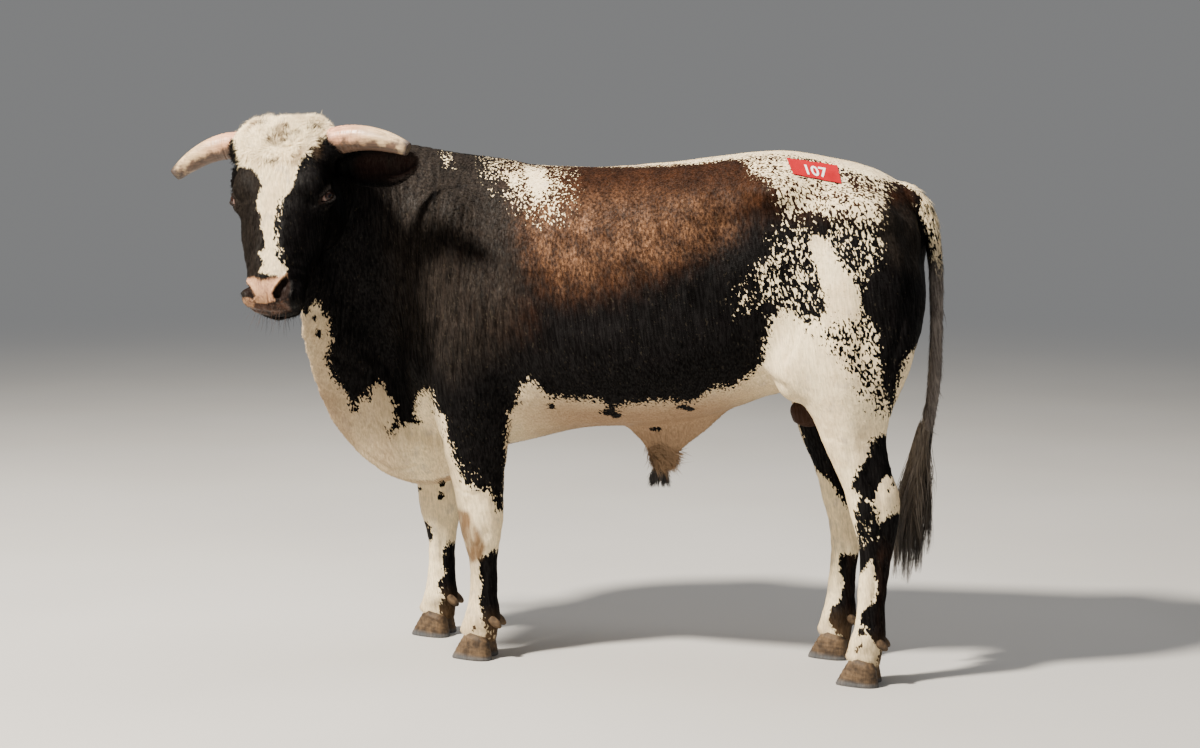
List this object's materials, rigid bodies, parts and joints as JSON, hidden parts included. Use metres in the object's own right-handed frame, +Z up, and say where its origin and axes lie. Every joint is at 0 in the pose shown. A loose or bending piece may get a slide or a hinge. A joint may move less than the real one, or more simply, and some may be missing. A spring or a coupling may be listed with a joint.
{
  "type": "domestic bull",
  "caption": "Life-size still model of a domestic bull, standing with its head turned to its left, with short blunt horns, a dewlap and dark hide with pale patches.",
  "frame": {"origin": "middle of the bull's box, at the floor under its hooves", "axes": "-X is the way the body faces, +X toward the tail, -Y is the bull's left side, toward which the head is turned, +Z is up"},
  "size_m": [2.0046, 0.89, 1.4871],
  "materials": {
    "hide": "satin",
    "pale_hide": "satin",
    "horn": "satin",
    "hoof": "matte",
    "hair": "matte",
    "eye": "gloss",
    "tag": "satin"
  },
  "bodies": {
    "root": {"torso": "hide", "neck": "hide", "head": "hide", "claw_fore_left_inner": "hoof", "claw_fore_left_outer": "hoof", "claw_fore_right_inner": "hoof", "claw_fore_right_outer": "hoof", "claw_hind_left_inner": "hoof", "claw_hind_left_outer": "hoof", "claw_hind_right_inner": "hoof", "claw_hind_right_outer": "hoof", "dewclaw_fore_left_inner": "hoof", "dewclaw_fore_left_outer": "hoof", "dewclaw_fore_right_inner": "hoof", "dewclaw_fore_right_outer": "hoof", "dewclaw_hind_left_inner": "hoof", "dewclaw_hind_left_outer": "hoof", "dewclaw_hind_right_inner": "hoof", "dewclaw_hind_right_outer": "hoof", "ear_left": "hide", "ear_right": "hide", "eye_left": "eye", "eye_right": "eye", "forearm_left": "hide", "forearm_right": "hide", "forefoot_left": "pale_hide", "forefoot_right": "pale_hide", "gaskin_left": "hide", "gaskin_right": "hide", "hindfoot_left": "pale_hide", "hindfoot_right": "pale_hide", "horn_left": "horn", "horn_right": "horn", "rump_tag": "tag", "scrotum": "hide", "sheath_tuft": "hair", "tail": "hide", "tail_switch": "hair"}
  },
  "joints": []
}
